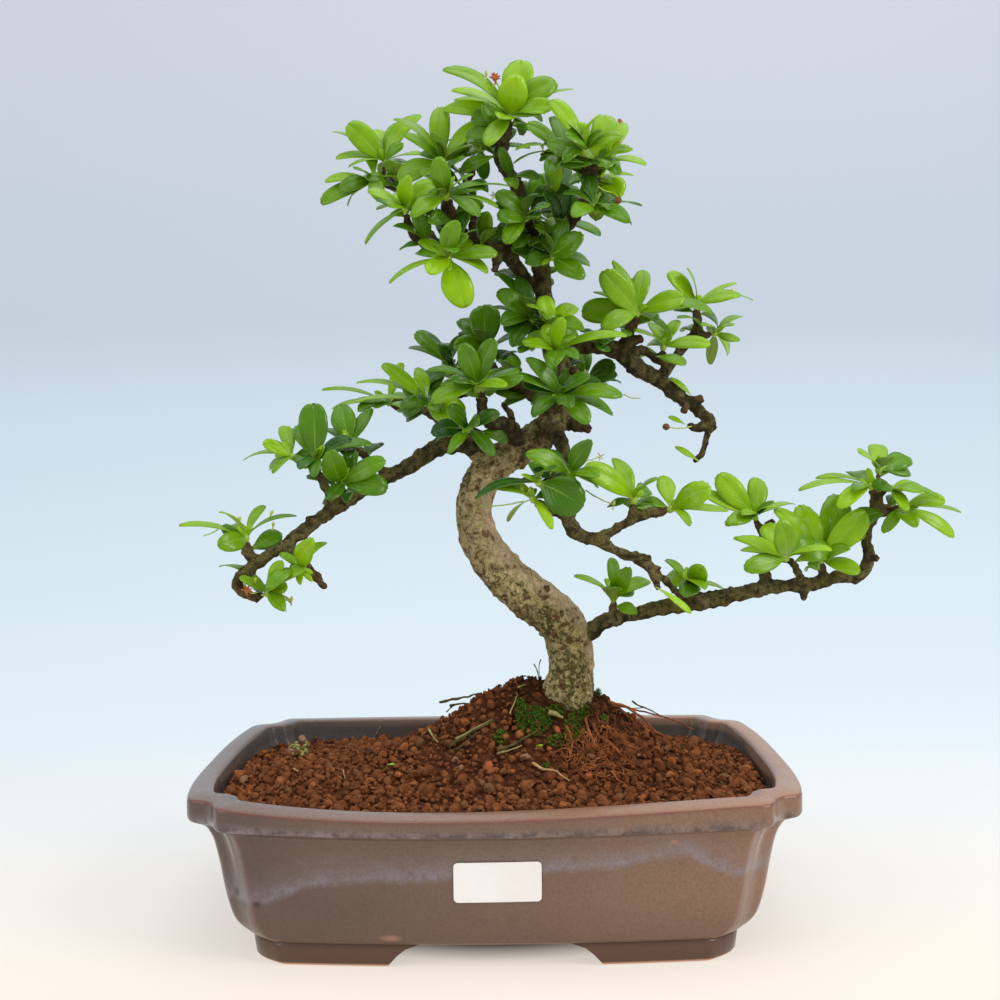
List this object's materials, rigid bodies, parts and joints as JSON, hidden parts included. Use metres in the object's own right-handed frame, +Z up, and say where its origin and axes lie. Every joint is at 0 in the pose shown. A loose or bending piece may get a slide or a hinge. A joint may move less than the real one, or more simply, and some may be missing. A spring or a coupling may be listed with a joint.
{
  "type": "fukien tea bonsai in a pot",
  "caption": "Fukien tea bonsai with a curved trunk, tufts of small glossy leaves and a long low branch, standing in soil in a wide glazed ceramic pot with notched corners and four feet.",
  "frame": {"origin": "centre of the bounding box at the bottom of the pot's feet", "axes": "+Z up, +Y from the label side to the back of the pot, +X towards the long low branch"},
  "size_m": [0.3498, 0.196, 0.3938],
  "materials": {
    "bark": "rough, mottled bark",
    "leaf": "living leaf, glossy above and paler below",
    "glaze": "satin brown-grey glaze",
    "soil": "dry, matt, granular",
    "net": "matt",
    "paper": "smooth"
  },
  "bodies": {
    "root": {"crown_back_leaves": "leaf", "crown_bright_leaves": "leaf", "crown_centre_leaves": "leaf", "crown_edge_leaves": "leaf", "crown_far_leaves": "leaf", "crown_front_leaves": "leaf", "crown_hanging_leaves": "leaf", "crown_high_leaves": "leaf", "crown_inner_leaves": "leaf", "crown_left_leaves": "leaf", "crown_low_leaves": "leaf", "crown_middle_leaves": "leaf", "crown_outer_leaves": "leaf", "crown_right_leaves": "leaf", "crown_side_leaves": "leaf", "crown_top_leaves": "leaf", "drain_screen_left": "net", "drain_screen_right": "net", "label": "paper", "left_behind_leaves": "leaf", "left_high_leaves": "leaf", "left_hook_leaves": "leaf", "left_inner_leaves": "leaf", "left_outer_leaves": "leaf", "left_tip_leaves": "leaf", "left_under_leaves": "leaf", "long_curved_leaves": "leaf", "long_first_leaves": "leaf", "long_left_leaves": "leaf", "long_outward_leaves": "leaf", "long_right_leaves": "leaf", "long_second_leaves": "leaf", "long_third_leaves": "leaf", "long_top_leaves": "leaf", "long_upright_leaves": "leaf", "lower_end_leaves": "leaf", "lower_left_leaves": "leaf", "lower_round_leaves": "leaf", "lower_spur_leaves": "leaf", "lower_top_leaves": "leaf", "middle_back_leaves": "leaf", "middle_far_leaves": "leaf", "middle_front_leaves": "leaf", "middle_high_leaves": "leaf", "middle_left_leaves": "leaf", "middle_low_leaves": "leaf", "pot": "glaze", "right_end_leaves": "leaf", "right_fork_leaves": "leaf", "right_high_leaves": "leaf", "right_spur_leaves": "leaf", "soil": "soil", "trunk_behind_leaves": "leaf", "trunk_front_leaves": "leaf", "trunk_left_leaves": "leaf", "trunk_right_leaves": "leaf", "trunk_upper_leaves": "leaf", "wood": "bark"}
  },
  "joints": []
}
